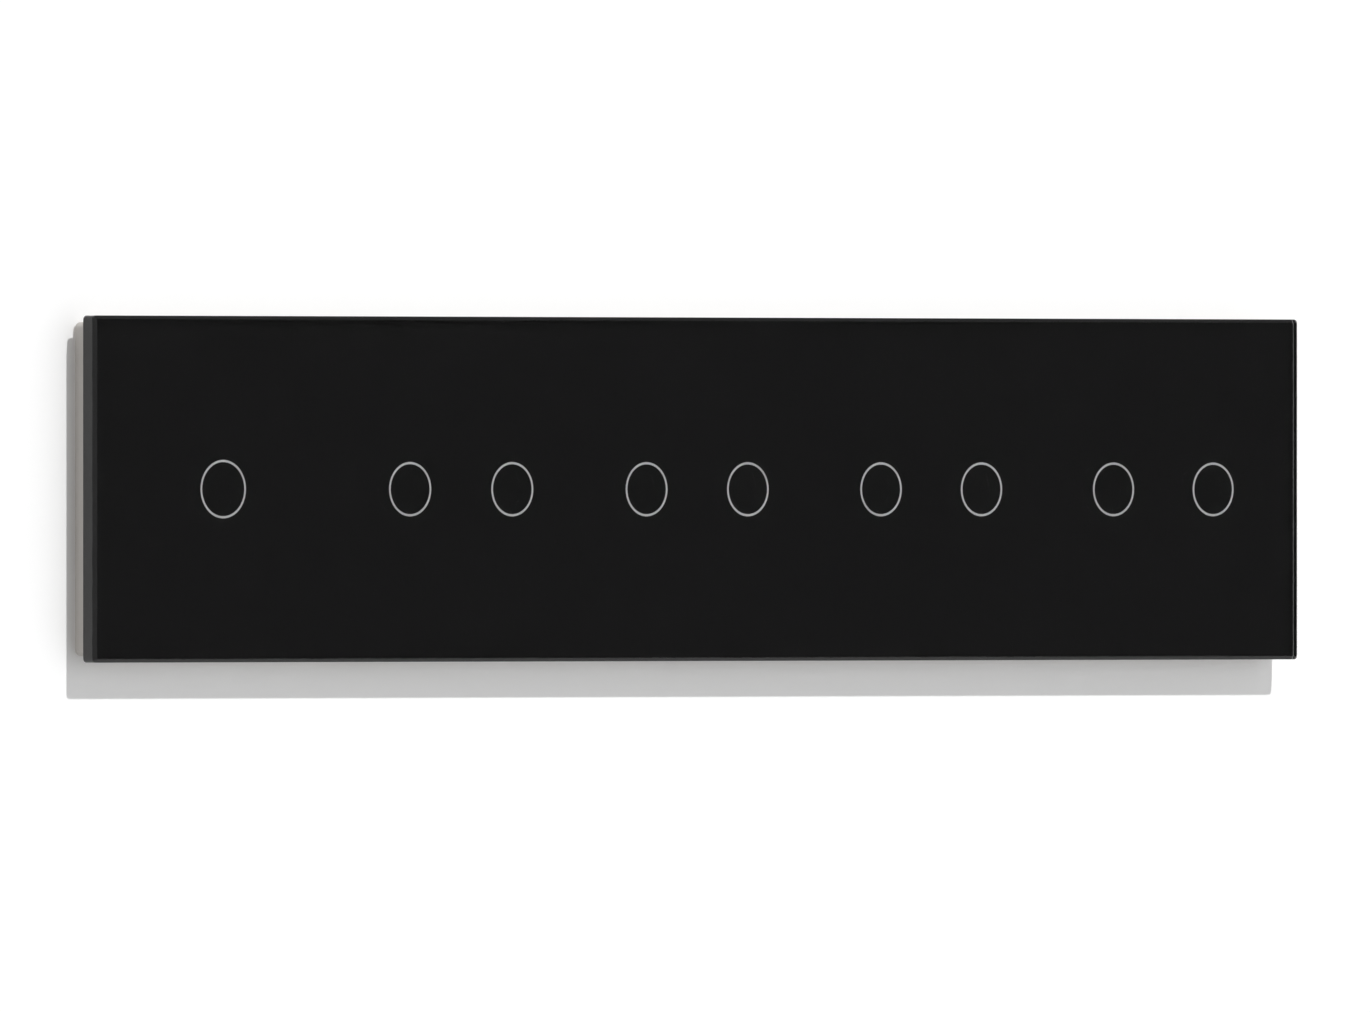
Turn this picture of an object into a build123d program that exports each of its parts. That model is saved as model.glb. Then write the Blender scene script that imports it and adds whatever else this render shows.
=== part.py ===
from build123d import *
from math import asin, cos, degrees, hypot, pi, radians, sin
import os

os.makedirs("parts", exist_ok=True)

# A row of touch switches behind one sheet of glass, in millimetres.
# X runs along the row, Z is up and Y goes into the wall, whose face is y = 0.
# A level is a distance in front of the wall face, a depth is one behind it.

# The row
key_counts = [1, 2, 2, 2, 2]  # keys of each module, from the left
module_pitch = 71.0  # spacing of flush wall boxes in a row
panel_height = 80.0
key_spacing = 30.6
lone_ring_diameter = 13.5
pair_ring_diameter = 12.6
ring_diameter = {1: lone_ring_diameter, 2: pair_ring_diameter}
ring_line = 0.48

# Glass front
glass_thickness = 4.0
glass_corner = 1.0
glass_edge = 0.8
mask_thickness = 0.12
mask_inset = 0.1
mask_play = 0.03
print_gap = 0.02
tape_thickness = 0.35
tape_inset = 0.8
frame_inset = 1.5
frame_wall = 1.2
frame_plate = 1.5
frame_corner = 1.5
pry_width = 9.0
pry_height = 1.3

# Spring clips that hold the glass front on the carriers
clip_offset = 22.0
clip_width = 6.0
clip_thickness = 0.5
clip_foot = 4.5
clip_room = 2.1
clip_stand_off = 0.7
clip_bite = 0.4
clip_end_level = 0.3
lip_thickness = 1.0
groove_depth = 0.9
groove_play = 1.0
catch_play = 0.1
stake_radius = 0.75
stake_play = 0.1

# Carrier plate of one module
carrier_thickness = 2.2
carrier_gap = 0.6
carrier_corner = 2.0
carrier_edge = 0.3
side_room = 2.1
pocket_floor = 0.8
pocket_play = 0.2
box_screw_spacing = 60.0
box_slot_length = 6.0
box_slot_width = 4.0
screw_seat_width = 7.4
screw_seat_floor = 0.9

# Touch board, cap, light guides and springs
touch_board_thickness = 1.2
light_size = (1.6, 0.8)
light_height = 0.6
light_radius = 5.3
seat_play = 0.05
guide_bore_radius = 4.1
guide_margin = 0.2
guide_flange = 0.35
guide_flange_thickness = 0.85
guide_hole_play = 0.15
guide_gap = 0.1
cap_margin = 3.1  # the legs of the cap stand outside the case
cap_wall = 1.0
cap_room = 0.9
cap_plate = 1.0
cap_corner = 2.0
cap_edge = 0.5
panel_play = 0.3
window_play = 0.8
leg_width = 5.0
leg_reach = 0.9
leg_barb = 0.5
leg_play = 0.15
leg_flex = 0.6
spring_wire = 0.4
spring_diameter = 7.0
spring_turns = 2.5

# Case behind the carrier
case_width = 46.0
case_height = 50.0
case_chamfer = 9.0
case_depth = 24.0
case_wall = 1.5
case_edge = 1.2
boss_room = 0.6
boss_inset = 6.0
boss_radius = 2.5
boss_seat = 0.7
vent_slots = 7
vent_pitch = 3.0
vent_width = 1.4
vent_length = 7.0
label_size = (30.0, 15.0)
label_depth = 0.3
case_screw_radius = 1.0
case_screw_head_radius = 2.0
case_screw_head = 1.1
case_screw_depth = 8.0
case_screw_play = 0.2
thread_play = 0.05
head_room = 1.0
drive_slot = 0.5
drive_depth = 0.6

# Power board and what stands on it
power_board_depth = 4.0
power_board_thickness = 1.6
board_play = 0.5
boss_play = 0.15
header_width = 2.5
header_pins = 6
header_pitch = 2.54
header_pin = 0.6
header_window_play = 0.6
pin_hole_radius = 0.55
pin_proud = 0.6
electrolytic_radius = 4.0
electrolytic_height = 12.0
film_size = (6.0, 13.0)
film_height = 11.0
capacitor_room = 1.0
capacitor_edge = 0.6

# Terminal block: three ways, wires from below and screws at the back
terminal_ways = 3
terminal_pitch = 7.6
terminal_height = 13.4
terminal_inset = 0.6
terminal_proud = 0.4
terminal_play = 0.3
clamp_size = (5.2, 6.6)
clamp_rise = 6.9
clamp_depth = 10.0
clamp_length = 9.0
clamp_play = 0.15
clamp_floor = 1.2
wire_port = 3.4
port_margin = 0.2
port_funnel = 0.4
clamp_pin_radius = 0.6
terminal_screw_radius = 1.5
terminal_head_radius = 2.0
terminal_head = 1.2
terminal_head_play = 0.3
terminal_head_recess = 1.0

# Relay, one for each key
relay_length = 19.0
relay_width = 9.5
relay_height = 14.5
relay_base_height = 1.5
relay_wall = 0.6
yoke_thickness = 1.2
yoke_width = 6.0
yoke_back = -8.0
yoke_foot = 9.5
core_radius = 1.6
core_z = -2.5
core_top = 11.2
pole_radius = 2.5
pole_thickness = 0.6
coil_radius = 3.7
coil_play = 0.2
flange_step = 0.5
armature_thickness = 1.0
armature_rise = 0.7
armature_width = 7.0
armature_tail = 1.0
armature_tip = 6.4
hinge_play = 0.15
contact_z = 5.2
contact_radius = 1.0
contact_drop = 0.5
contact_cap = 0.4
contact_blade = 0.5
contact_width = 2.4
contact_gap = 0.06
relay_spring_thickness = 0.2
relay_spring_width = 4.0
relay_spring_foot = 3.0

# Levels, one upon the other
touch_front = pocket_floor + touch_board_thickness
guide_level = touch_front + light_height + seat_play
flange_top = guide_level + guide_flange_thickness
cap_inner = flange_top + seat_play
cap_front = cap_inner + cap_plate
mask_level = cap_front + panel_play
glass_level = mask_level + mask_thickness + mask_play
frame_front = mask_level - tape_thickness
plate_level = frame_front - frame_plate
guide_top = mask_level - guide_gap
lip_level = carrier_thickness - lip_thickness
power_board_back = power_board_depth + power_board_thickness

# Outlines
module_count = len(key_counts)
most_keys = max(key_counts)
carrier_width = module_pitch - carrier_gap
carrier_height = panel_height - 2 * (frame_inset + frame_wall + clip_room)
end_margin = carrier_width / 2 + side_room + frame_wall + frame_inset
panel_length = (module_count - 1) * module_pitch + 2 * end_margin
frame_length = panel_length - 2 * frame_inset
frame_height = panel_height - 2 * frame_inset
guide_radius = max(ring_diameter.values()) / 2 + guide_margin
flange_radius = guide_radius + guide_flange
cap_width = key_spacing + 2 * (flange_radius + cap_room + cap_wall)
cap_height = case_height + 2 * cap_margin
window_width = cap_width + 2 * window_play
window_height = cap_height + 2 * window_play
leg_z = (cap_height - cap_wall) / 2
header_length = header_pins * header_pitch + header_pin
block_width = terminal_ways * terminal_pitch

# Places in one module: the terminal block is at the bottom of the case, the header at its top, and the
# relays stand side by side between them, with a capacitor at each end
block_low = terminal_inset - case_height / 2
block_high = block_low + terminal_height
block_middle = (block_low + block_high) / 2
clamp_z = block_low + clamp_rise
boss_x = block_width / 2 + terminal_play + boss_room + boss_seat + boss_radius
boss_z = case_height / 2 - boss_inset
header_z = boss_z
relay_z = (block_high + header_z - header_width / 2) / 2
capacitor_x = case_width / 2 - case_wall - capacitor_room - electrolytic_radius
relay_gap = (2 * (capacitor_x - electrolytic_radius) - most_keys * relay_width) / (most_keys + 1)
relay_spacing = relay_width + relay_gap
vent_z = (relay_z + relay_length / 2 + case_height / 2 - case_wall) / 2

# Places along the row
module_places = [(n - (module_count - 1) / 2) * module_pitch for n in range(module_count)]
corner_signs = [(-1, -1), (-1, 1), (1, -1), (1, 1)]
boss_places = [(a * boss_x, b * boss_z) for a, b in corner_signs]
header_pin_places = [((n - (header_pins - 1) / 2) * header_pitch, header_z) for n in range(header_pins)]
way_places = [(n - (terminal_ways - 1) / 2) * terminal_pitch for n in range(terminal_ways)]
clip_places = [x + side * clip_offset for x in module_places for side in (-1, 1)]


def spread(count, spacing):
    return [(n - (count - 1) / 2) * spacing for n in range(count)]


keys = [(x + dx, count) for x, count in zip(module_places, key_counts) for dx in spread(count, key_spacing)]
relays = [(x + dx, relay_z) for x, count in zip(module_places, key_counts) for dx in spread(count, relay_spacing)]


def wall_plane(x, level=0.0):
    # Parallel to the wall and facing the room, with local x to the right and local y up
    return Plane(origin=(x, -level, 0), x_dir=(1, 0, 0), z_dir=(0, -1, 0))


def side_plane(x):
    # Upright and square to the wall, with local x up and local y into the wall
    return Plane(origin=(x, 0, 0), x_dir=(0, 0, 1), z_dir=(-1, 0, 0))


def save(part, name):
    part.label = name
    export_step(part, f"parts/{name}.step")
    print(name, len(part.solids()), "solids", round(part.volume, 2), "mm3")


# Glass front: glass, black print behind it, ring marks, tape and moulded frame

with BuildPart() as glass_plate:
    with BuildSketch(Plane.XZ.offset(glass_level)):
        RectangleRounded(panel_length, panel_height, glass_corner)
    extrude(amount=glass_thickness)
    chamfer(glass_plate.faces().sort_by(Axis.Y)[0].edges(), glass_edge)
save(glass_plate.part, "glass_plate")

with BuildPart() as black_mask:
    with BuildSketch(Plane.XZ.offset(mask_level)):
        RectangleRounded(panel_length - 2 * mask_inset, panel_height - 2 * mask_inset, glass_corner - mask_inset)
        for x, count in keys:
            with Locations((x, 0)):
                Circle(ring_diameter[count] / 2 + print_gap, mode=Mode.SUBTRACT)
                Circle(ring_diameter[count] / 2 - ring_line - print_gap)
    extrude(amount=mask_thickness)
save(black_mask.part, "black_mask")

with BuildPart() as ring_marks:
    with BuildSketch(Plane.XZ.offset(mask_level)):
        for x, count in keys:
            with Locations((x, 0)):
                Circle(ring_diameter[count] / 2)
                Circle(ring_diameter[count] / 2 - ring_line, mode=Mode.SUBTRACT)
    extrude(amount=mask_thickness)
save(ring_marks.part, "ring_marks")

with BuildPart() as bonding_tape:
    with BuildSketch(Plane.XZ.offset(frame_front)):
        Rectangle(frame_length - 2 * tape_inset, frame_height - 2 * tape_inset)
        with Locations([(x, 0) for x in module_places]):
            Rectangle(window_width + 2 * tape_inset, window_height + 2 * tape_inset, mode=Mode.SUBTRACT)
    extrude(amount=tape_thickness)
save(bonding_tape.part, "bonding_tape")

stake_z = carrier_height / 2 + clip_stand_off + clip_thickness - clip_foot / 2

with BuildPart() as backing_frame:
    with BuildSketch(Plane.XZ):
        RectangleRounded(frame_length, frame_height, frame_corner)
    extrude(amount=frame_front)
    with BuildSketch(Plane.XZ):
        Rectangle(frame_length - 2 * frame_wall, frame_height - 2 * frame_wall)
    extrude(amount=plate_level, mode=Mode.SUBTRACT)
    with BuildSketch(Plane.XZ.offset(plate_level)):
        with Locations([(x, 0) for x in module_places]):
            RectangleRounded(window_width, window_height, cap_corner + window_play)
    extrude(amount=frame_plate, mode=Mode.SUBTRACT)
    # Stakes that locate the feet of the spring clips
    with BuildSketch(Plane.XZ.offset(plate_level)):
        with Locations([(x, side * stake_z) for x in clip_places for side in (-1, 1)]):
            Circle(stake_radius)
    extrude(amount=-clip_thickness)
    # Slot in the lower wall where a blade levers the front off
    with BuildSketch(Plane.XZ):
        with Locations((0, -(frame_height - frame_wall) / 2)):
            Rectangle(pry_width, frame_wall)
    extrude(amount=pry_height, mode=Mode.SUBTRACT)
save(backing_frame.part, "backing_frame")

clip_inside = carrier_height / 2 + clip_stand_off
clip_outside = clip_inside + clip_thickness
clip_tip = carrier_height / 2 - clip_bite
catch_level = lip_level - catch_play

with BuildPart() as snap_clips:
    for x in clip_places:
        with BuildSketch(side_plane(x)):
            with BuildLine():
                Polyline(
                    (clip_outside - clip_foot, -plate_level),
                    (clip_outside, -plate_level),
                    (clip_outside, -clip_end_level),
                    (clip_inside, -clip_end_level),
                    (clip_tip, -(clip_end_level + catch_level) / 2),
                    (clip_tip, -(catch_level - catch_play)),
                    (clip_inside, -catch_level),
                    (clip_inside, -(plate_level - clip_thickness)),
                    (clip_outside - clip_foot, -(plate_level - clip_thickness)),
                    close=True,
                )
            make_face()
        extrude(amount=clip_width / 2, both=True)
    with BuildSketch(Plane.XZ.offset(plate_level)):
        with Locations([(x, stake_z) for x in clip_places]):
            Circle(stake_radius + stake_play)
    extrude(amount=-clip_thickness, mode=Mode.SUBTRACT)
    mirror(about=Plane.XY)
save(snap_clips.part, "snap_clips")


# One module each time: carrier, boards, cap, case and terminals

block_depth = case_depth + terminal_proud
port_depth = clamp_depth + clamp_floor + wire_port / 2
clamp_back = clamp_depth + clamp_length

for number, (x, count) in enumerate(zip(module_places, key_counts), start=1):
    key_places = [(dx, 0) for dx in spread(count, key_spacing)]

    with BuildPart() as carrier_plate:
        with BuildSketch(wall_plane(x)):
            RectangleRounded(carrier_width, carrier_height, carrier_corner)
        extrude(amount=carrier_thickness)
        fillet(carrier_plate.faces().sort_by(Axis.Y)[0].edges(), carrier_edge)
        # Pocket that takes the touch board and the foot of the cap
        with BuildSketch(wall_plane(x, pocket_floor)):
            RectangleRounded(cap_width + 2 * pocket_play, cap_height + 2 * pocket_play, cap_corner + pocket_play)
        extrude(amount=carrier_thickness - pocket_floor, mode=Mode.SUBTRACT)
        # Slots for the wall box screws, with a sunk seat for their heads
        with BuildSketch(wall_plane(x)):
            with GridLocations(box_screw_spacing, 1, 2, 1):
                SlotOverall(box_slot_length, box_slot_width)
        extrude(amount=carrier_thickness, mode=Mode.SUBTRACT)
        with BuildSketch(wall_plane(x, screw_seat_floor)):
            with GridLocations(box_screw_spacing, 1, 2, 1):
                SlotOverall(box_slot_length + screw_seat_width - box_slot_width, screw_seat_width)
        extrude(amount=carrier_thickness - screw_seat_floor, mode=Mode.SUBTRACT)
        # Grooves behind the upper and lower edge, where the spring clips catch
        with BuildSketch(wall_plane(x)):
            with GridLocations(2 * clip_offset, carrier_height - groove_depth, 2, 2):
                Rectangle(clip_width + 2 * groove_play, groove_depth)
        extrude(amount=lip_level, mode=Mode.SUBTRACT)
        # Floor: window for the header, holes for the case screws, slots for the cap legs
        with BuildSketch(wall_plane(x)):
            with Locations((0, header_z)):
                Rectangle(header_length + 2 * header_window_play, header_width + 2 * header_window_play)
            with Locations(boss_places):
                Circle(case_screw_radius + case_screw_play)
            for side in (-1, 1):
                with Locations((0, side * (leg_z + (leg_play - leg_flex) / 2))):
                    Rectangle(leg_width + 2 * leg_play, cap_wall + leg_play + leg_flex)
        extrude(amount=pocket_floor, mode=Mode.SUBTRACT)
    save(carrier_plate.part, f"carrier_plate_{number}")

    with BuildPart() as touch_board:
        with BuildSketch(wall_plane(x, pocket_floor)):
            RectangleRounded(cap_width, cap_height, cap_corner)
            with Locations(boss_places):
                Circle(case_screw_head_radius + head_room, mode=Mode.SUBTRACT)
            with Locations(header_pin_places):
                Circle(pin_hole_radius, mode=Mode.SUBTRACT)
            for side in (-1, 1):
                with Locations((0, side * (leg_z - leg_flex / 2))):
                    Rectangle(leg_width + 2 * leg_play, cap_wall + leg_flex, mode=Mode.SUBTRACT)
        extrude(amount=touch_board_thickness)
    save(touch_board.part, f"touch_board_{number}")

    with BuildPart() as front_cap:
        with BuildSketch(wall_plane(x, touch_front)):
            RectangleRounded(cap_width, cap_height, cap_corner)
        extrude(amount=cap_front - touch_front)
        fillet(front_cap.faces().sort_by(Axis.Y)[0].edges(), cap_edge)
        with BuildSketch(wall_plane(x, touch_front)):
            RectangleRounded(cap_width - 2 * cap_wall, cap_height - 2 * cap_wall, cap_corner - cap_wall)
        extrude(amount=cap_inner - touch_front, mode=Mode.SUBTRACT)
        with BuildSketch(wall_plane(x, cap_inner)):
            with Locations(key_places):
                Circle(guide_radius + guide_hole_play)
        extrude(amount=cap_plate, mode=Mode.SUBTRACT)
        # Two legs reach through the board and catch behind the carrier's floor
        with BuildSketch(wall_plane(x, touch_front)):
            with GridLocations(1, 2 * leg_z, 1, 2):
                Rectangle(leg_width, cap_wall)
        extrude(amount=-(touch_front + leg_reach))
        with BuildSketch(wall_plane(x, -catch_play)):
            with GridLocations(1, cap_height + leg_barb, 1, 2):
                Rectangle(leg_width, leg_barb)
        extrude(amount=-(leg_reach - catch_play))
    save(front_cap.part, f"front_cap_{number}")

    with BuildPart() as rear_housing:
        with BuildSketch(wall_plane(x)) as case_outline:
            Rectangle(case_width, case_height)
            chamfer(case_outline.vertices(), case_chamfer)
        extrude(amount=-case_depth)
        fillet(rear_housing.edges().filter_by(Axis.Y), case_edge)
        fillet(rear_housing.faces().sort_by(Axis.Y)[-1].edges(), case_edge)
        with BuildSketch(wall_plane(x)) as case_inside:
            Rectangle(case_width, case_height)
            chamfer(case_inside.vertices(), case_chamfer)
            offset(amount=-case_wall, kind=Kind.INTERSECTION, mode=Mode.REPLACE)
        extrude(amount=-(case_depth - case_wall), mode=Mode.SUBTRACT)
        # Stepped bosses: the power board sits on the step, the screws bite in the bore
        with BuildSketch(wall_plane(x)):
            with Locations(boss_places):
                Circle(boss_radius)
        extrude(amount=-(case_depth - case_wall))
        with BuildSketch(wall_plane(x, -power_board_back)):
            with Locations(boss_places):
                Circle(boss_radius + boss_seat)
        extrude(amount=-(case_depth - case_wall - power_board_back))
        with BuildSketch(wall_plane(x)):
            with Locations(boss_places):
                Circle(case_screw_radius + thread_play)
        extrude(amount=-case_screw_depth, mode=Mode.SUBTRACT)
        # Opening in the lower wall and the back, round the terminal block
        with BuildSketch(wall_plane(x, -(power_board_back - terminal_play))):
            with Locations((0, (block_high + terminal_play - case_height / 2) / 2)):
                Rectangle(block_width + 2 * terminal_play, block_high + terminal_play + case_height / 2)
        extrude(amount=-(case_depth - power_board_back + terminal_play), mode=Mode.SUBTRACT)
        # Vents over the relays, and under them a sunk field for a label, left bare
        with BuildSketch(wall_plane(x, -case_depth)):
            with Locations((0, vent_z)):
                with GridLocations(vent_pitch, 1, vent_slots, 1):
                    SlotOverall(vent_length, vent_width, rotation=90)
        extrude(amount=case_wall, mode=Mode.SUBTRACT)
        with BuildSketch(wall_plane(x, -case_depth)):
            with Locations((0, relay_z)):
                RectangleRounded(*label_size, 1)
        extrude(amount=label_depth, mode=Mode.SUBTRACT)
    save(rear_housing.part, f"rear_housing_{number}")

    with BuildPart() as power_board:
        with BuildSketch(wall_plane(x, -power_board_depth)) as board_outline:
            Rectangle(case_width, case_height)
            chamfer(board_outline.vertices(), case_chamfer)
            offset(amount=-(case_wall + board_play), kind=Kind.INTERSECTION, mode=Mode.REPLACE)
            with Locations(boss_places):
                Circle(boss_radius + boss_play, mode=Mode.SUBTRACT)
            with Locations(header_pin_places):
                Circle(pin_hole_radius, mode=Mode.SUBTRACT)
            with Locations([(dx, clamp_z) for dx in way_places]):
                Circle(clamp_pin_radius + clamp_play, mode=Mode.SUBTRACT)
        extrude(amount=-power_board_thickness)
    save(power_board.part, f"power_board_{number}")

    with BuildPart() as terminal_block:
        with BuildSketch(wall_plane(x, -power_board_back)):
            with Locations((0, block_middle)):
                Rectangle(block_width, block_high - block_low)
        extrude(amount=-(block_depth - power_board_back))
        # A chamber for each clamp, open to the board, and a shaft for its screw
        with BuildSketch(wall_plane(x, -power_board_back)):
            with Locations([(dx, clamp_z) for dx in way_places]):
                Rectangle(clamp_size[0] + 2 * clamp_play, clamp_size[1] + 2 * clamp_play)
        extrude(amount=-(clamp_back + clamp_play - power_board_back), mode=Mode.SUBTRACT)
        with BuildSketch(wall_plane(x, -clamp_back)):
            with Locations([(dx, clamp_z) for dx in way_places]):
                Circle(terminal_head_radius + terminal_head_play)
        extrude(amount=-(block_depth - clamp_back), mode=Mode.SUBTRACT)
        # Square ports for the wires in the lower face
        with BuildSketch(Plane.XY.offset(block_low)):
            with Locations([(x + dx, port_depth) for dx in way_places]):
                Rectangle(wire_port + 2 * port_margin, wire_port + 2 * port_margin)
        extrude(amount=clamp_z - block_low, mode=Mode.SUBTRACT)
        with BuildSketch(Plane.XY.offset(block_low)):
            with Locations([(x + dx, port_depth) for dx in way_places]):
                Rectangle(wire_port + 2 * (port_margin + port_funnel), wire_port + 2 * (port_margin + port_funnel))
        extrude(amount=port_funnel, taper=45, mode=Mode.SUBTRACT)
    save(terminal_block.part, f"terminal_block_{number}")


# Screws and clamps, all modules together

with BuildPart() as case_screws:
    for x in module_places:
        with BuildSketch(wall_plane(x, pocket_floor)):
            with Locations(boss_places):
                Circle(case_screw_head_radius)
        extrude(amount=case_screw_head)
        with BuildSketch(wall_plane(x, pocket_floor)):
            with Locations(boss_places):
                Circle(case_screw_radius)
        extrude(amount=-(pocket_floor + case_screw_depth))
        with BuildSketch(wall_plane(x, pocket_floor + case_screw_head)):
            with Locations(boss_places):
                Rectangle(case_screw_head_radius * 1.2, drive_slot)
                Rectangle(drive_slot, case_screw_head_radius * 1.2)
        extrude(amount=-drive_depth, mode=Mode.SUBTRACT)
save(case_screws.part, "case_screws")

with BuildPart() as wire_clamps:
    for x in module_places:
        with BuildSketch(wall_plane(x, -clamp_depth)):
            with Locations([(dx, clamp_z) for dx in way_places]):
                Rectangle(*clamp_size)
        extrude(amount=-clamp_length)
        with BuildSketch(Plane.XY.offset(clamp_z)):
            with Locations([(x + dx, port_depth) for dx in way_places]):
                Rectangle(wire_port, wire_port)
        extrude(amount=clamp_size[1] / 2, both=True, mode=Mode.SUBTRACT)
        with BuildSketch(wall_plane(x, -port_depth)):
            with Locations([(dx, clamp_z) for dx in way_places]):
                Circle(terminal_screw_radius + thread_play)
        extrude(amount=-(clamp_back - port_depth), mode=Mode.SUBTRACT)
        # Solder pin through the power board
        with BuildSketch(wall_plane(x, -clamp_depth)):
            with Locations([(dx, clamp_z) for dx in way_places]):
                Circle(clamp_pin_radius)
        extrude(amount=clamp_depth - power_board_depth + pin_proud)
save(wire_clamps.part, "wire_clamps")

screw_top = block_depth - terminal_head_recess

with BuildPart() as terminal_screws:
    for x in module_places:
        with BuildSketch(wall_plane(x, -screw_top)):
            with Locations([(dx, clamp_z) for dx in way_places]):
                Circle(terminal_head_radius)
        extrude(amount=terminal_head)
        with BuildSketch(wall_plane(x, -(screw_top - terminal_head))):
            with Locations([(dx, clamp_z) for dx in way_places]):
                Circle(terminal_screw_radius)
        extrude(amount=screw_top - terminal_head - port_depth - wire_port / 2)
        with BuildSketch(wall_plane(x, -screw_top)):
            with Locations([(dx, clamp_z) for dx in way_places]):
                Rectangle(2 * terminal_head_radius, drive_slot)
        extrude(amount=drive_depth, mode=Mode.SUBTRACT)
save(terminal_screws.part, "terminal_screws")


# Parts on the boards

with BuildPart() as light_guides:
    for x, count in keys:
        with BuildSketch(wall_plane(x, guide_level)):
            Circle(flange_radius)
            Circle(guide_bore_radius, mode=Mode.SUBTRACT)
        extrude(amount=guide_flange_thickness)
        with BuildSketch(wall_plane(x, flange_top)):
            Circle(guide_radius)
            Circle(guide_bore_radius, mode=Mode.SUBTRACT)
        extrude(amount=guide_top - flange_top)
save(light_guides.part, "light_guides")

with BuildPart() as key_lights:
    with BuildSketch(Plane.XZ.offset(touch_front)):
        with Locations([(x + side * light_radius, 0) for x, count in keys for side in (-1, 1)]):
            Rectangle(*light_size)
    extrude(amount=light_height)
save(key_lights.part, "key_lights")

# Each quarter turn of the touch spring is an arc that starts and ends at one slope
coil_mean = (spring_diameter - spring_wire) / 2
coil_rise = guide_top - touch_front - spring_wire
quarters = round(4 * spring_turns)
quarter_rise = coil_rise / quarters
quarter_chord = hypot(coil_mean * 2**0.5, quarter_rise)
coil_slope = quarter_rise / quarter_chord * cos(pi / 4)
coil_points = [
    Vector(
        coil_mean * cos(n * pi / 2),
        -(touch_front + spring_wire / 2 + n * quarter_rise),
        coil_mean * sin(n * pi / 2),
    )
    for n in range(quarters + 1)
]

with BuildPart() as touch_springs:
    for x, count in keys:
        with BuildLine() as coil:
            heading = Vector(0, -coil_slope, 1)
            for start, end in zip(coil_points, coil_points[1:]):
                arc = TangentArc(start + Vector(x, 0, 0), end + Vector(x, 0, 0), tangent=heading)
                heading = arc % 1
        with BuildSketch(Plane(origin=coil.line @ 0, z_dir=coil.line % 0)):
            Circle(spring_wire / 2)
        sweep(path=coil.line)
save(touch_springs.part, "touch_springs")
print("least gap between spring turns", round(coil_rise / spring_turns - spring_wire, 3), "mm")

with BuildPart() as board_headers:
    for x in module_places:
        with BuildSketch(wall_plane(x, pocket_floor)):
            with Locations((0, header_z)):
                Rectangle(header_length, header_width)
        extrude(amount=-(pocket_floor + power_board_depth))
        with BuildSketch(wall_plane(x, touch_front + pin_proud)):
            with Locations(header_pin_places):
                Rectangle(header_pin, header_pin)
        extrude(amount=-(touch_front + power_board_back + 2 * pin_proud))
save(board_headers.part, "board_headers")

with BuildPart() as supply_capacitors:
    with BuildSketch(Plane.XZ.offset(-power_board_back)):
        with Locations([(x - capacitor_x, relay_z) for x in module_places]):
            Circle(electrolytic_radius)
    extrude(amount=-electrolytic_height)
    fillet(supply_capacitors.edges().group_by(Axis.Y)[-1], capacitor_edge)
save(supply_capacitors.part, "supply_capacitors")

with BuildPart() as film_capacitors:
    with BuildSketch(Plane.XZ.offset(-power_board_back)):
        with Locations([(x + capacitor_x, relay_z) for x in module_places]):
            Rectangle(*film_size)
    extrude(amount=-film_height)
    fillet(film_capacitors.edges().group_by(Axis.Y)[-1], capacitor_edge)
save(film_capacitors.part, "film_capacitors")


# Relays: each is drawn at the row's middle and copied to its place

def relay_level(height):
    # Height over the power board, as a level of a wall plane
    return -(power_board_back + height)


armature_level = core_top + armature_rise
hinge_z = yoke_back + yoke_thickness / 2
pole_edge = core_z + pole_radius - hinge_z
armature_angle = degrees(asin((armature_rise - hinge_play / 2) / pole_edge))
contact_arm = contact_z + contact_radius - hinge_z
moving_contact = armature_level - contact_drop
contact_top = moving_contact - contact_arm * sin(radians(armature_angle)) - contact_gap
relay_cover_height = relay_height - relay_base_height

with BuildPart() as relay_base:
    with BuildSketch(wall_plane(0, relay_level(0))):
        Rectangle(relay_width, relay_length)
        with Locations((0, contact_z)):
            Rectangle(contact_width, contact_blade, mode=Mode.SUBTRACT)
    extrude(amount=-relay_base_height)

with BuildPart() as relay_cover:
    with BuildSketch(wall_plane(0, relay_level(relay_base_height))):
        Rectangle(relay_width, relay_length)
    extrude(amount=-relay_cover_height)
    with BuildSketch(wall_plane(0, relay_level(relay_base_height))):
        Rectangle(relay_width - 2 * relay_wall, relay_length - 2 * relay_wall)
    extrude(amount=-(relay_cover_height - relay_wall), mode=Mode.SUBTRACT)
    fillet(relay_cover.faces().sort_by(Axis.Y)[-1].edges(), relay_wall / 2)

with BuildPart() as relay_yoke:
    with BuildSketch(side_plane(0)):
        with BuildLine():
            Polyline(
                (yoke_back, -relay_level(relay_base_height)),
                (yoke_back + yoke_foot, -relay_level(relay_base_height)),
                (yoke_back + yoke_foot, -relay_level(relay_base_height + yoke_thickness)),
                (yoke_back + yoke_thickness, -relay_level(relay_base_height + yoke_thickness)),
                (yoke_back + yoke_thickness, -relay_level(armature_level - hinge_play)),
                (yoke_back, -relay_level(armature_level - hinge_play)),
                close=True,
            )
        make_face()
    extrude(amount=yoke_width / 2, both=True)
    with BuildSketch(wall_plane(0, relay_level(core_top))):
        with Locations((0, core_z)):
            Circle(core_radius)
    extrude(amount=core_top - relay_base_height - yoke_thickness)
    with BuildSketch(wall_plane(0, relay_level(core_top))):
        with Locations((0, core_z)):
            Circle(pole_radius)
    extrude(amount=pole_thickness)

coil_low = relay_base_height + yoke_thickness + coil_play
coil_high = core_top - pole_thickness - coil_play

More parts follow.
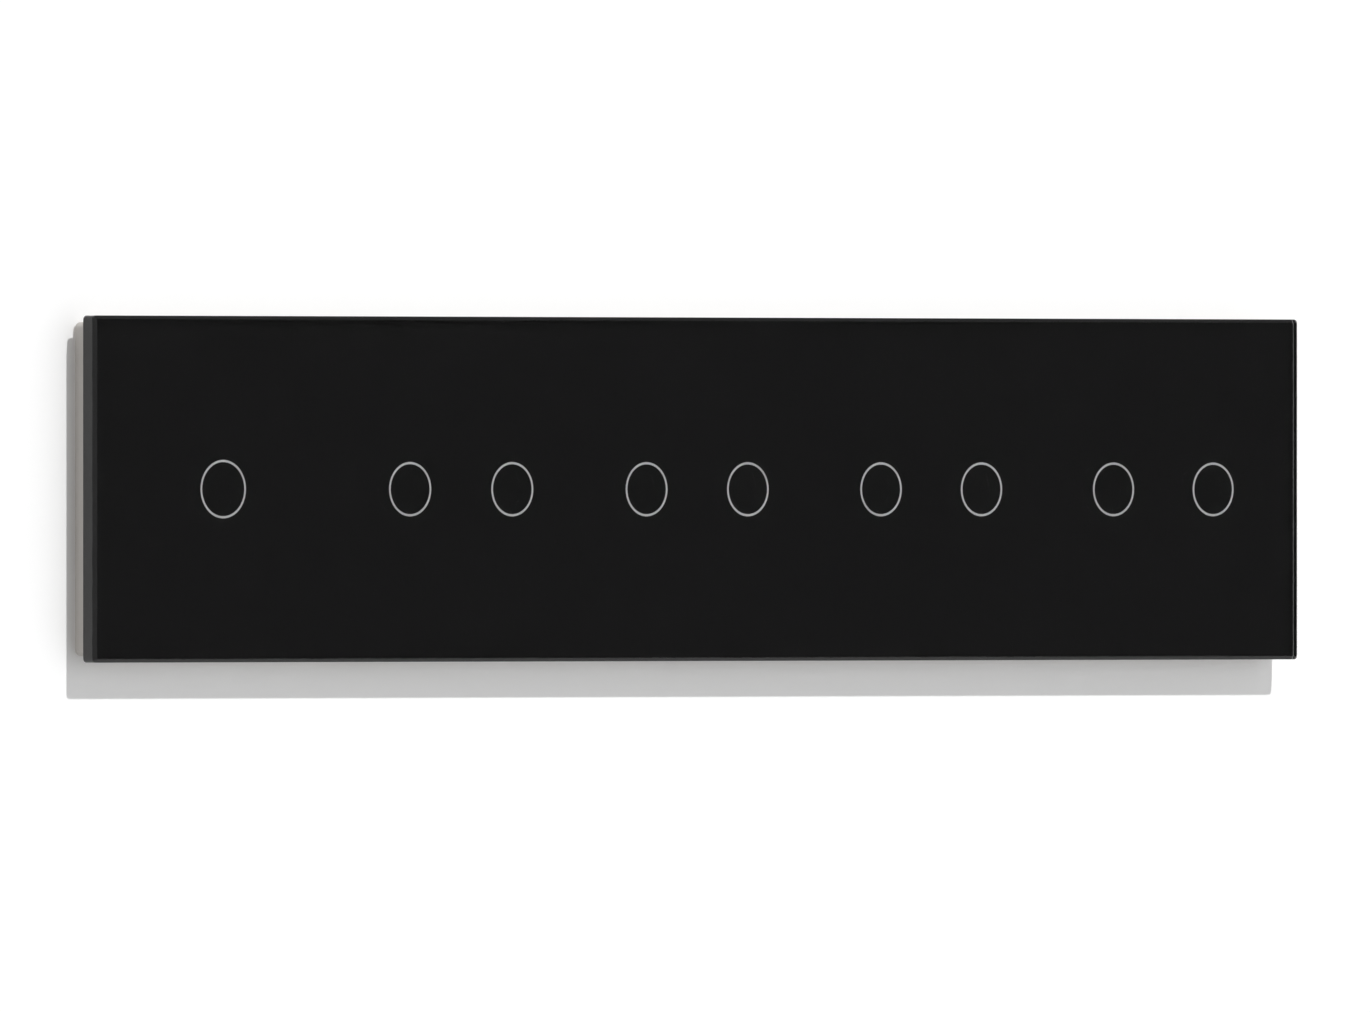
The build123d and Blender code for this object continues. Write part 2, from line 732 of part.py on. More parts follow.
with BuildPart() as relay_coil:
    with BuildSketch(wall_plane(0, relay_level(coil_low))):
        with Locations((0, core_z)):
            Circle(coil_radius)
            Circle(core_radius + coil_play, mode=Mode.SUBTRACT)
    extrude(amount=-(coil_high - coil_low))
    with BuildSketch(wall_plane(0, relay_level(coil_low + flange_step))):
        with Locations((0, core_z)):
            Circle(coil_radius)
            Circle(coil_radius - flange_step / 2, mode=Mode.SUBTRACT)
    extrude(amount=-(coil_high - coil_low - 2 * flange_step), mode=Mode.SUBTRACT)

with BuildPart() as relay_contact:
    with BuildSketch(wall_plane(0, relay_level(0))):
        with Locations((0, contact_z)):
            Rectangle(contact_width, contact_blade)
    extrude(amount=-(contact_top - contact_cap))
    with BuildSketch(wall_plane(0, relay_level(contact_top))):
        with Locations((0, contact_z)):
            Circle(contact_radius)
    extrude(amount=contact_cap)

with BuildPart() as relay_spring:
    with BuildSketch(side_plane(0)):
        with Locations((yoke_back - relay_spring_thickness / 2, 0)):
            with Locations((0, -relay_level((relay_spring_foot + armature_level - hinge_play) / 2))):
                Rectangle(relay_spring_thickness, armature_level - hinge_play - relay_spring_foot)
    extrude(amount=relay_spring_width / 2, both=True)

with BuildPart() as relay_armature:
    with BuildSketch(wall_plane(0, relay_level(armature_level))):
        with Locations((0, (armature_tip + hinge_z - armature_tail) / 2)):
            Rectangle(armature_width, armature_tip - hinge_z + armature_tail)
    extrude(amount=-armature_thickness)
    with BuildSketch(wall_plane(0, relay_level(moving_contact))):
        with Locations((0, contact_z)):
            Circle(contact_radius)
    extrude(amount=-contact_drop)

relay_copies = [(x, 0, z) for x, z in relays]

with BuildPart() as relay_bases:
    with Locations(relay_copies):
        add(relay_base.part)
save(relay_bases.part, "relay_bases")

with BuildPart() as relay_covers:
    with Locations(relay_copies):
        add(relay_cover.part)
save(relay_covers.part, "relay_covers")

with BuildPart() as relay_yokes:
    with Locations(relay_copies):
        add(relay_yoke.part)
save(relay_yokes.part, "relay_yokes")

with BuildPart() as relay_coils:
    with Locations(relay_copies):
        add(relay_coil.part)
save(relay_coils.part, "relay_coils")

with BuildPart() as relay_contacts:
    with Locations(relay_copies):
        add(relay_contact.part)
save(relay_contacts.part, "relay_contacts")

with BuildPart() as relay_springs:
    with Locations(relay_copies):
        add(relay_spring.part)
save(relay_springs.part, "relay_springs")

for number, place in enumerate(relay_copies, start=1):
    with BuildPart() as one_armature:
        with Locations(place):
            add(relay_armature.part)
    save(one_armature.part, f"relay_armature_{number}")

print("panel", round(panel_length, 2), "x", panel_height, "x", round(glass_level + glass_thickness, 2))
print("carrier", round(carrier_width, 2), "x", round(carrier_height, 2), "cap width", round(cap_width, 2))
print("armature hinge at depth", round(power_board_back + armature_level, 3), "z", round(relay_z + hinge_z, 3))
print("armature range", round(armature_angle, 3), "degrees, fixed contact top", round(contact_top, 3))
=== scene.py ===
import math

import bmesh
import bpy
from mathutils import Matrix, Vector


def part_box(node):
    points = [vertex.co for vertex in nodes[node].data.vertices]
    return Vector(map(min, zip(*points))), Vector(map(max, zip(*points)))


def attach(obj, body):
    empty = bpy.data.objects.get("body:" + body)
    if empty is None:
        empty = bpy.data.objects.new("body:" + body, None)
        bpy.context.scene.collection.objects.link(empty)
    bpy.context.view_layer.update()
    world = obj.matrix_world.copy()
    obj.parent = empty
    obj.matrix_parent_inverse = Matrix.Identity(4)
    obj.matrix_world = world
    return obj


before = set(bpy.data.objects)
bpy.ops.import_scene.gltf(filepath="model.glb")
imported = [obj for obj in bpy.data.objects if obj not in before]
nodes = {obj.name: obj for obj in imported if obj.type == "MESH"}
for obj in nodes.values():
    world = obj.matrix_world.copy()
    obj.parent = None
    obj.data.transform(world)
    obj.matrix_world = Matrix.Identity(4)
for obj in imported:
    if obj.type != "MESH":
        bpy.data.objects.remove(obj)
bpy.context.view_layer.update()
scene = bpy.context.scene
modules = sorted(int(name.rsplit("_", 1)[1]) for name in nodes if name.startswith("carrier_plate_"))
waysPerBlock = 3  # wires that one module's terminal block takes
mmPerMetre = 1000
print("switch panel loaded:", len(nodes), "nodes,", len(modules), "modules")


def metres(millimetres):
    return millimetres / mmPerMetre


def perMetre(sizeMm):
    # the scale at which a texture's features are about this size
    return mmPerMetre / sizeMm


def linear(hexColour):
    # sRGB hex to the linear values that the shaders take
    levels = [int(hexColour[place:place + 2], 16) / 255 for place in (1, 3, 5)]
    return (*(v / 12.92 if v <= 0.04045 else ((v + 0.055) / 1.055) ** 2.4 for v in levels), 1.0)


def addNode(tree, kind, inputs=None, **settings):
    # an input takes a plain value or another node's socket
    # a Mix node's inputs go by number: 0 is the factor, 2 and 3 are its numbers, 6 and 7 its colours
    node = tree.nodes.new(kind)
    for name, value in settings.items():
        setattr(node, name, value)
    for name, value in (inputs or {}).items():
        if isinstance(value, bpy.types.NodeSocket):
            tree.links.new(value, node.inputs[name])
        else:
            node.inputs[name].default_value = value
    return node


def newMaterial(name):
    material = bpy.data.materials.new(name)
    material.use_nodes = True
    tree = material.node_tree
    tree.nodes.clear()
    surface = addNode(tree, "ShaderNodeBsdfPrincipled")
    addNode(tree, "ShaderNodeOutputMaterial", {"Surface": surface.outputs["BSDF"]})
    place = addNode(tree, "ShaderNodeTexCoord").outputs["Object"]
    return material, tree, surface, place


def twoShades(tree, place, sizeMm, detail, first, second):
    # soft clouds of the second colour in the first
    clouds = addNode(tree, "ShaderNodeTexNoise",
                     {"Vector": place, "Scale": perMetre(sizeMm), "Detail": detail})
    blend = addNode(tree, "ShaderNodeMix",
                    {0: clouds.outputs["Fac"], 6: linear(first), 7: linear(second)}, data_type="RGBA")
    return blend.outputs[2]


def addGrain(tree, surface, grain, sizeMm, roughness, strength):
    # the grain breaks the shine between two roughnesses and stands up by a quarter of its own size
    shine = addNode(tree, "ShaderNodeMapRange",
                    {"Value": grain, "From Min": 0.3, "From Max": 0.7,
                     "To Min": roughness[0], "To Max": roughness[1]})
    relief = addNode(tree, "ShaderNodeBump",
                     {"Height": grain, "Strength": strength, "Distance": metres(sizeMm) / 4})
    tree.links.new(shine.outputs["Result"], surface.inputs["Roughness"])
    tree.links.new(relief.outputs["Normal"], surface.inputs["Normal"])


def paint(material, *names):
    # a name stands for that node, or for every node that has it before a number
    for name, node in nodes.items():
        if name in names or name.rstrip("0123456789").rstrip("_") in names:
            node.data.materials.clear()
            node.data.materials.append(material)


# Finishes, each for one of the switch's own stuffs

def temperedGlass():
    # tempered soda-lime glass, float surface with ground and polished edges:
    # a clear plate, low in iron, whose thin arrises catch the light round the black print
    look = {"tint": "#FAFAFA", "ior": 1.52, "roughness": 0.0}
    material, _, surface, _ = newMaterial("temperedGlass")
    surface.inputs["Base Color"].default_value = linear(look["tint"])
    surface.inputs["Roughness"].default_value = look["roughness"]
    surface.inputs["IOR"].default_value = look["ior"]
    surface.inputs["Transmission Weight"].default_value = 1.0
    return material


def blackInk():
    # fired ceramic ink, screen printed on the back of the glass: an even deep black
    look = {"ink": "#1A1A1A", "thin": "#1D1D1D", "cloudMm": 9.0, "roughness": 0.5}
    material, tree, surface, place = newMaterial("blackInk")
    ink = twoShades(tree, place, look["cloudMm"], 3.0, look["ink"], look["thin"])
    tree.links.new(ink, surface.inputs["Base Color"])
    surface.inputs["Roughness"].default_value = look["roughness"]
    surface.inputs["Specular IOR Level"].default_value = 0.0  # no shine of its own: it is bonded to glass
    return material


def ringInk():
    # light grey translucent ink, screen printed: soft even line with the weave of the screen in it
    look = {"ink": "#DBDBDB", "thin": "#D1D1D1", "screenMm": 0.25, "roughness": 0.6}
    material, tree, surface, place = newMaterial("ringInk")
    ink = twoShades(tree, place, look["screenMm"], 1.0, look["ink"], look["thin"])
    tree.links.new(ink, surface.inputs["Base Color"])
    surface.inputs["Roughness"].default_value = look["roughness"]
    return material


def mouldedPlastic(name, look):
    # injection moulded plastic with a spark-eroded surface: faint clouds in the colour,
    # a fine even grain that breaks the shine, drawn a little coarse so that it shows
    material, tree, surface, place = newMaterial(name)
    colour = twoShades(tree, place, look["cloudMm"], 4.0, look["colour"], look["shade"])
    tree.links.new(colour, surface.inputs["Base Color"])
    grain = addNode(tree, "ShaderNodeTexNoise",
                    {"Vector": place, "Scale": perMetre(look["grainMm"]), "Detail": 2.0})
    addGrain(tree, surface, grain.outputs["Fac"], look["grainMm"], look["roughness"], look["relief"])
    surface.inputs["IOR"].default_value = look["ior"]
    return material


def platedMetal(name, look):
    # rolled or turned metal with a thin plating: fine lines from the tool along one way,
    # and slow clouds where the plating is thicker
    relief = 0.25  # how strongly the lines stand out, the same on every metal here
    material, tree, surface, place = newMaterial(name)
    colour = twoShades(tree, place, look["cloudMm"], 3.0, look["colour"], look["shade"])
    tree.links.new(colour, surface.inputs["Base Color"])
    stretched = addNode(tree, "ShaderNodeMapping", {"Vector": place, "Scale": look["grainWay"]})
    lines = addNode(tree, "ShaderNodeTexNoise",
                    {"Vector": stretched.outputs["Vector"], "Scale": perMetre(look["lineMm"]),
                     "Detail": 3.0})
    addGrain(tree, surface, lines.outputs["Fac"], look["lineMm"], look["roughness"], relief)
    surface.inputs["Metallic"].default_value = 1.0
    return material


def hatchedCopper(tree, flat, look):
    # a screen of thin tracks that cross at right angles, slanted on the board
    tracks = []
    for operation in ("ADD", "SUBTRACT"):
        slant = addNode(tree, "ShaderNodeMath",
                        {0: flat.outputs["X"], 1: flat.outputs["Z"]}, operation=operation)
        steps = addNode(tree, "ShaderNodeMath",
                        {0: slant.outputs[0], 1: perMetre(look["copperMm"])}, operation="MULTIPLY")
        part = addNode(tree, "ShaderNodeMath", {0: steps.outputs[0]}, operation="FRACT")
        track = addNode(tree, "ShaderNodeMath", {0: part.outputs[0], 1: look["share"]},
                        operation="LESS_THAN")
        tracks.append(track.outputs[0])
    return addNode(tree, "ShaderNodeMath", {0: tracks[0], 1: tracks[1]}, operation="MAXIMUM").outputs[0]


def pouredCopper(tree, flat, look):
    # areas of copper with straight and mitred borders, and bare gaps between them
    spread = addNode(tree, "ShaderNodeCombineXYZ", {"X": flat.outputs["X"], "Y": flat.outputs["Z"]})
    distances = []
    for feature in ("F1", "F2"):
        cells = addNode(tree, "ShaderNodeTexVoronoi",
                        {"Vector": spread.outputs["Vector"], "Scale": perMetre(look["copperMm"]),
                         "Randomness": look["uneven"]},
                        voronoi_dimensions="2D", distance="CHEBYCHEV", feature=feature)
        distances.append(cells.outputs["Distance"])
    gap = addNode(tree, "ShaderNodeMath", {0: distances[1], 1: distances[0]}, operation="SUBTRACT")
    copper = addNode(tree, "ShaderNodeMath", {0: gap.outputs[0], 1: look["share"]}, operation="GREATER_THAN")
    return copper.outputs[0]


def maskedLaminate(name, drawCopper, look):
    # glass-epoxy laminate, etched copper under a curtain-coated green solder mask: the copper shows as
    # lighter green with its edges just raised, and the glass weave as a faint mottle
    material, tree, surface, place = newMaterial(name)
    flat = addNode(tree, "ShaderNodeSeparateXYZ", {"Vector": place})
    copper = drawCopper(tree, flat, look)
    ground = twoShades(tree, place, look["weaveMm"], 2.0, look["mask"], look["thin"])
    colour = addNode(tree, "ShaderNodeMix",
                     {0: copper, 6: ground, 7: linear(look["overCopper"])}, data_type="RGBA")
    relief = addNode(tree, "ShaderNodeBump",
                     {"Height": copper, "Strength": look["relief"],
                      "Distance": metres(look["copperHighMm"])})
    tree.links.new(colour.outputs[2], surface.inputs["Base Color"])
    tree.links.new(relief.outputs["Normal"], surface.inputs["Normal"])
    surface.inputs["Roughness"].default_value = look["roughness"]
    return material


def foamTape():
    # closed-cell acrylic foam tape, die cut: matt black with small open cells along its cut edge
    look = {"foam": "#1B1B1C", "cell": "#2C2C2E", "cellMm": 0.35, "relief": 0.5, "roughness": 0.85}
    material, tree, surface, place = newMaterial("foamTape")
    cells = addNode(tree, "ShaderNodeTexVoronoi", {"Vector": place, "Scale": perMetre(look["cellMm"])})
    colour = addNode(tree, "ShaderNodeMix",
                     {0: cells.outputs["Distance"], 6: linear(look["foam"]), 7: linear(look["cell"])},
                     data_type="RGBA")
    relief = addNode(tree, "ShaderNodeBump",
                     {"Height": cells.outputs["Distance"], "Strength": look["relief"],
                      "Distance": metres(look["cellMm"]) / 4})
    tree.links.new(colour.outputs[2], surface.inputs["Base Color"])
    tree.links.new(relief.outputs["Normal"], surface.inputs["Normal"])
    surface.inputs["Roughness"].default_value = look["roughness"]
    return material


def frostedAcrylic():
    # moulded acrylic light guide, bead-blasted tool: milky and soft, so that the ring lights evenly
    look = {"colour": "#EEF3F5", "shade": "#DDE6EA", "blastMm": 0.3, "roughness": 0.35, "ior": 1.49,
            "clear": 0.4}
    material, tree, surface, place = newMaterial("frostedAcrylic")
    colour = twoShades(tree, place, look["blastMm"], 2.0, look["colour"], look["shade"])
    tree.links.new(colour, surface.inputs["Base Color"])
    surface.inputs["Roughness"].default_value = look["roughness"]
    surface.inputs["IOR"].default_value = look["ior"]
    surface.inputs["Transmission Weight"].default_value = look["clear"]
    return material


def ledResin():
    # moulded lamp package with cast phosphor resin: white, clouded with the yellow of the phosphor
    look = {"resin": "#E8D66A", "case": "#E9E7DE", "domeMm": 1.0, "roughness": 0.3}
    material, tree, surface, place = newMaterial("ledResin")
    colour = twoShades(tree, place, look["domeMm"], 1.0, look["case"], look["resin"])
    tree.links.new(colour, surface.inputs["Base Color"])
    surface.inputs["Roughness"].default_value = look["roughness"]
    return material


def enamelledWinding():
    # enamelled copper wire wound in close turns: ridges round the bobbin, drawn about six wires wide
    # so that they show, with painted shade: the colour darkens in the grooves between the turns
    look = {"wire": "#B4622E", "gap": "#5A2A12", "wireMm": 0.22, "relief": 0.6, "roughness": 0.32,
            "metallic": 0.8}
    radiansPerScale = 20  # a wave texture turns this far in one unit at a scale of 1
    material, tree, surface, place = newMaterial("enamelledWinding")
    turns = addNode(tree, "ShaderNodeTexWave",
                    {"Vector": place, "Scale": perMetre(look["wireMm"]) / radiansPerScale},
                    wave_type="BANDS", bands_direction="Y", wave_profile="SIN")
    # painted shade: the darker gap colour fills the grooves where the bump dips between turns
    colour = addNode(tree, "ShaderNodeMix",
                     {0: turns.outputs["Fac"], 6: linear(look["gap"]), 7: linear(look["wire"])},
                     data_type="RGBA")
    relief = addNode(tree, "ShaderNodeBump",
                     {"Height": turns.outputs["Fac"], "Strength": look["relief"],
                      "Distance": metres(look["wireMm"]) / 2})
    tree.links.new(colour.outputs[2], surface.inputs["Base Color"])
    tree.links.new(relief.outputs["Normal"], surface.inputs["Normal"])
    surface.inputs["Metallic"].default_value = look["metallic"]
    surface.inputs["Roughness"].default_value = look["roughness"]
    return material


def paintPlastics():
    looks = {
        # acrylonitrile butadiene styrene: light grey, an even satin
        "greyAbs": {"nodes": ["backing_frame"], "colour": "#D0CCC7", "shade": "#C8C4BF", "cloudMm": 18.0,
                    "grainMm": 0.5, "roughness": (0.42, 0.58), "relief": 0.35, "ior": 1.53},
        # glass-filled polycarbonate: a warm white, flatter and harder looking than the caps
        "whitePolycarbonate": {"nodes": ["carrier_plate", "rear_housing"], "colour": "#DEDDD8",
                               "shade": "#D6D5CF", "cloudMm": 22.0, "grainMm": 0.5,
                               "roughness": (0.42, 0.58), "relief": 0.2, "ior": 1.58},
        # the same ABS in white, from a finer tool: a little glossier
        "whiteAbs": {"nodes": ["front_cap"], "colour": "#E6E5E1", "shade": "#DDDCD8", "cloudMm": 16.0,
                     "grainMm": 0.4, "roughness": (0.32, 0.48), "relief": 0.25, "ior": 1.53},
        # flame-retardant polyamide: a dull dark grey with a strong grain
        "greyPolyamide": {"nodes": ["terminal_block"], "colour": "#4A4D50", "shade": "#424548",
                          "cloudMm": 8.0, "grainMm": 0.5, "roughness": (0.4, 0.6), "relief": 0.4,
                          "ior": 1.53},
        # polybutylene terephthalate: near black with a dull shine
        "blackPbt": {"nodes": ["relay_bases", "board_headers"], "colour": "#1E1E20", "shade": "#262628",
                     "cloudMm": 6.0, "grainMm": 0.4, "roughness": (0.35, 0.5), "relief": 0.3, "ior": 1.55},
        # the same in blue, thin walled, from a smoother tool: glossier
        "bluePbt": {"nodes": ["relay_covers"], "colour": "#1F4F9C", "shade": "#1B4488", "cloudMm": 6.0,
                    "grainMm": 0.4, "roughness": (0.25, 0.4), "relief": 0.25, "ior": 1.55},
        # potted box of a film capacitor: strong yellow, satin
        "yellowBoxResin": {"nodes": ["film_capacitors"], "colour": "#C79A2A", "shade": "#B98E24",
                           "cloudMm": 5.0, "grainMm": 0.4, "roughness": (0.35, 0.5), "relief": 0.3,
                           "ior": 1.55},
        # PET sleeve shrunk on an aluminium can: slate, smooth and fairly glossy
        "canSleeve": {"nodes": ["supply_capacitors"], "colour": "#22262C", "shade": "#2A2E35",
                      "cloudMm": 5.0, "grainMm": 0.6, "roughness": (0.25, 0.38), "relief": 0.15,
                      "ior": 1.52},
    }
    for name, look in looks.items():
        paint(mouldedPlastic(name, look), *look["nodes"])


def paintMetals():
    looks = {
        # zinc-plated steel, headed and rolled: cool and bright with yellowish clouds
        "zincSteel": {"nodes": ["case_screws", "terminal_screws"], "colour": "#C9CBC8", "shade": "#B9B9AE",
                      "lineMm": 0.3, "cloudMm": 2.0, "grainWay": (1.0, 0.2, 1.0), "roughness": (0.22, 0.4)},
        # rolled spring strip: grey, with its lines along the strip
        "springSteel": {"nodes": ["snap_clips", "relay_springs"], "colour": "#B9B8B4", "shade": "#A7A6A2",
                        "lineMm": 0.25, "cloudMm": 4.0, "grainWay": (0.1, 1.0, 1.0),
                        "roughness": (0.2, 0.35)},
        # nickel-plated spring wire, drawn: bright, without lines
        "nickelWire": {"nodes": ["touch_springs"], "colour": "#CBC8C0", "shade": "#BCB9B1",
                       "lineMm": 0.2, "cloudMm": 1.5, "grainWay": (1.0, 1.0, 1.0),
                       "roughness": (0.15, 0.28)},
        # free-cutting brass, turned: yellow, with lines from the tool
        "turnedBrass": {"nodes": ["wire_clamps"], "colour": "#D2A950", "shade": "#BF9644",
                        "lineMm": 0.25, "cloudMm": 3.0, "grainWay": (1.0, 0.15, 1.0),
                        "roughness": (0.2, 0.36)},
        # annealed soft iron, nickel plated: dull grey with upright lines
        "softIron": {"nodes": ["relay_yokes", "relay_armature"], "colour": "#B3B2B0", "shade": "#A2A19F",
                     "lineMm": 0.3, "cloudMm": 3.0, "grainWay": (1.0, 1.0, 0.2), "roughness": (0.25, 0.4)},
        # stamped copper alloy: pinkish and bright
        "contactAlloy": {"nodes": ["relay_contacts"], "colour": "#D8B08A", "shade": "#C79E78",
                         "lineMm": 0.25, "cloudMm": 2.0, "grainWay": (1.0, 0.2, 1.0),
                         "roughness": (0.2, 0.34)},
    }
    for name, look in looks.items():
        paint(platedMetal(name, look), *look["nodes"])


def paintBoards():
    shared = {"weaveMm": 0.6, "relief": 0.4, "copperHighMm": 0.04, "roughness": 0.3}
    power = {"copperMm": 6.5, "share": 0.1, "uneven": 0.9,
             "mask": "#123F22", "thin": "#164A29", "overCopper": "#1F6335"}
    touch = {"copperMm": 1.6, "share": 0.22, "mask": "#14492A", "thin": "#175230", "overCopper": "#20693A"}
    paint(maskedLaminate("pouredLaminate", pouredCopper, {**shared, **power}), "power_board")
    paint(maskedLaminate("hatchedLaminate", hatchedCopper, {**shared, **touch}), "touch_board")


def paintSwitch():
    paint(temperedGlass(), "glass_plate")
    paint(blackInk(), "black_mask")
    paint(ringInk(), "ring_marks")
    paint(foamTape(), "bonding_tape")
    paintPlastics()
    paintMetals()
    paintBoards()
    paint(frostedAcrylic(), "light_guides")
    paint(ledResin(), "key_lights")
    paint(enamelledWinding(), "relay_coils")
    print("finishes given:", len(bpy.data.materials), "materials")


paintSwitch()


# Making of pieces

def addPiece(name, shape, material, edgeMm=0.0, body="switch_base"):
    # turns a finished bmesh into a piece, on the fixed side of the switch if no other body is named
    bmesh.ops.recalc_face_normals(shape, faces=shape.faces)
    mesh = bpy.data.meshes.new(name)
    shape.to_mesh(mesh)
    shape.free()
    mesh.materials.append(material)
    piece = bpy.data.objects.new(name, mesh)
    scene.collection.objects.link(piece)
    if edgeMm:
        edge = piece.modifiers.new("edge", "BEVEL")
        edge.width = metres(edgeMm)
        edge.segments = 2
    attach(piece, body)


def joinRows(shape, rows):
    # faces from each closed row of corners to the next
    for lower, upper in zip(rows, rows[1:]):
        for n in range(len(lower)):
            after = (n + 1) % len(lower)
            shape.faces.new((lower[n], lower[after], upper[after], upper[n]))


# Marks moulded on the cases and carriers, and the edge of the print

def wayNumbers():
    # over the terminal screws, read from behind the case, where +X is on the left
    look = {"heightMm": 4.2, "raisedMm": 0.5, "boldMm": 0.12, "overBlockMm": 1.4}
    for number in modules:
        low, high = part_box(f"terminal_block_{number}")
        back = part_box(f"rear_housing_{number}")[1].y
        pitch = (high.x - low.x) / waysPerBlock
        for way in range(waysPerBlock):
            words = bpy.data.curves.new(f"wayNumber{number}{way + 1}", "FONT")
            words.body = str(way + 1)
            words.size = metres(look["heightMm"])
            words.extrude = metres(look["raisedMm"])
            words.offset = metres(look["boldMm"])
            words.align_x = "CENTER"
            digit = bpy.data.objects.new(words.name, words)
            scene.collection.objects.link(digit)
            digit.rotation_euler = (math.radians(90), 0, math.radians(180))  # upright, facing the back
            digit.location = (high.x - (way + 0.5) * pitch, back, high.z + metres(look["overBlockMm"]))
            words.materials.append(nodes[f"rear_housing_{number}"].data.materials[0])
            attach(digit, "switch_base")
    print("way numbers made")


def upArrows():
    # on the carriers' upper margin, so that the fitter sees which way is up
    look = {"headMm": 3.8, "stemMm": 1.5, "lengthMm": 4.6, "neckMm": 2.3, "raisedMm": 0.45, "edgeMm": 0.06}
    head, stem, tip = look["headMm"] / 2, look["stemMm"] / 2, look["lengthMm"] / 2
    neck = tip - look["neckMm"]
    outline = [(0, tip), (head, neck), (stem, neck), (stem, -tip),
               (-stem, -tip), (-stem, neck), (-head, neck)]
    for number in modules:
        low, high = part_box(f"carrier_plate_{number}")
        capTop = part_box(f"front_cap_{number}")[1].z
        place = Vector(((low.x + high.x) / 2, low.y, (capTop + high.z) / 2))
        shape = bmesh.new()
        flat = shape.faces.new([shape.verts.new(place + metres(Vector((x, 0, z)))) for x, z in outline])
        grown = bmesh.ops.extrude_face_region(shape, geom=[flat])["geom"]
        bmesh.ops.translate(shape, verts=[v for v in grown if isinstance(v, bmesh.types.BMVert)],
                            vec=(0, -metres(look["raisedMm"]), 0))
        addPiece(f"upArrow{number}", shape, nodes[f"carrier_plate_{number}"].data.materials[0],
                 look["edgeMm"])
    print("up arrows made")


def printMargin():
    # the black print runs on to the very edge of the glass, so no light comes through a clear rim
    look = {"cornerMm": 1.0, "cornerSteps": 6}
    low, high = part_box("black_mask")
    glassLow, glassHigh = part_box("glass_plate")
    outer = metres(look["cornerMm"])
    inner = outer - (low.x - glassLow.x)
    middle = (glassLow + glassHigh) / 2
    reach = (glassHigh - glassLow) / 2
    quarters = [(1, 1), (-1, 1), (-1, -1), (1, -1)]
    shape = bmesh.new()
    rows = []
    for radius, level in ((outer, low.y), (outer, high.y), (inner, high.y), (inner, low.y)):
        row = []
        for quarter, (sideX, sideZ) in enumerate(quarters):
            for step in range(look["cornerSteps"] + 1):
                angle = (quarter + step / look["cornerSteps"]) * math.pi / 2
                x = middle.x + sideX * (reach.x - outer) + radius * math.cos(angle)
                z = middle.z + sideZ * (reach.z - outer) + radius * math.sin(angle)
                row.append(shape.verts.new((x, level, z)))
        rows.append(row)
    joinRows(shape, rows + rows[:1])
    addPiece("printMargin", shape, nodes["black_mask"].data.materials[0], body="front_panel")
    print("print margin made")


wayNumbers()
upArrows()
printMargin()


# Small parts soldered on the boards

def chipResin():
    # epoxy moulding compound, filled with quartz: dark grey and matt, with a fine even speckle
    return mouldedPlastic("chipResin", {
        "colour": "#232425", "shade": "#2E2F30", "cloudMm": 0.5, "grainMm": 0.2,
        "roughness": (0.5, 0.7), "relief": 0.4, "ior": 1.55})


def brightSolder():
    # tin-silver solder, frozen from the melt: bright and slightly frosted where its grains meet
    return platedMetal("brightSolder", {
        "colour": "#D3D3CF", "shade": "#BDBDB8", "lineMm": 0.3, "cloudMm": 0.6,
        "grainWay": (1.0, 1.0, 1.0), "roughness": (0.18, 0.42)})


def firedCeramic():
    # barium titanate ceramic, tape cast and fired: tan, with fine darker specks
    return mouldedPlastic("firedCeramic", {
        "colour": "#A98B62", "shade": "#8F744F", "cloudMm": 0.4, "grainMm": 0.2,
        "roughness": (0.4, 0.55), "relief": 0.3, "ior": 1.6})


def resistorGlaze():
    # black glass glaze over a thick-film resistor, screen printed and fired: smooth and glossy
    return mouldedPlastic("resistorGlaze", {
        "colour": "#18191B", "shade": "#222326", "cloudMm": 0.5, "grainMm": 0.3,
        "roughness": (0.15, 0.3), "relief": 0.1, "ior": 1.52})


def addStack(shape, place, out, sides, levels):
    # sections of (height, half width, half depth) in mm, one over the other, on a board whose open
    # side faces out: square for 4 sides, else round
    reach = math.sqrt(2) if sides == 4 else 1.0
    angles = [(n + 0.5) / sides * math.tau for n in range(sides)]
    rows = []
    for height, halfX, halfZ in levels:
        corners = [Vector((halfX * reach * math.cos(angle), out * height, halfZ * reach * math.sin(angle)))
                   for angle in angles]
        rows.append([shape.verts.new(place + metres(corner)) for corner in corners])
    joinRows(shape, rows)
    shape.faces.new(rows[0])
    shape.faces.new(rows[-1])


def addLead(shape, place, out, side, wide, thick, path):
    # a bent tinned strip along the path of (distance from the chip's middle, height), in mm
    rows = []
    for away, height in path:
        section = [(-wide / 2, height), (wide / 2, height),
                   (wide / 2, height + thick), (-wide / 2, height + thick)]
        rows.append([shape.verts.new(place + metres(Vector((x, out * level, side * away))))
                     for x, level in section])
    joinRows(shape, rows)
    shape.faces.new(rows[0])
    shape.faces.new(rows[-1])


def boardPlaces(board, out, spots):
    # points on one face of that board in every module: out is -1 on the room side and +1 on the other
    found = []
    for number in modules:
        low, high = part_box(f"{board}_{number}")
        face = low.y if out < 0 else high.y
        middle = Vector(((low.x + high.x) / 2, face, (low.z + high.z) / 2))
        found += [middle + Vector((metres(x), 0, metres(z))) for x, z in spots]
    return found


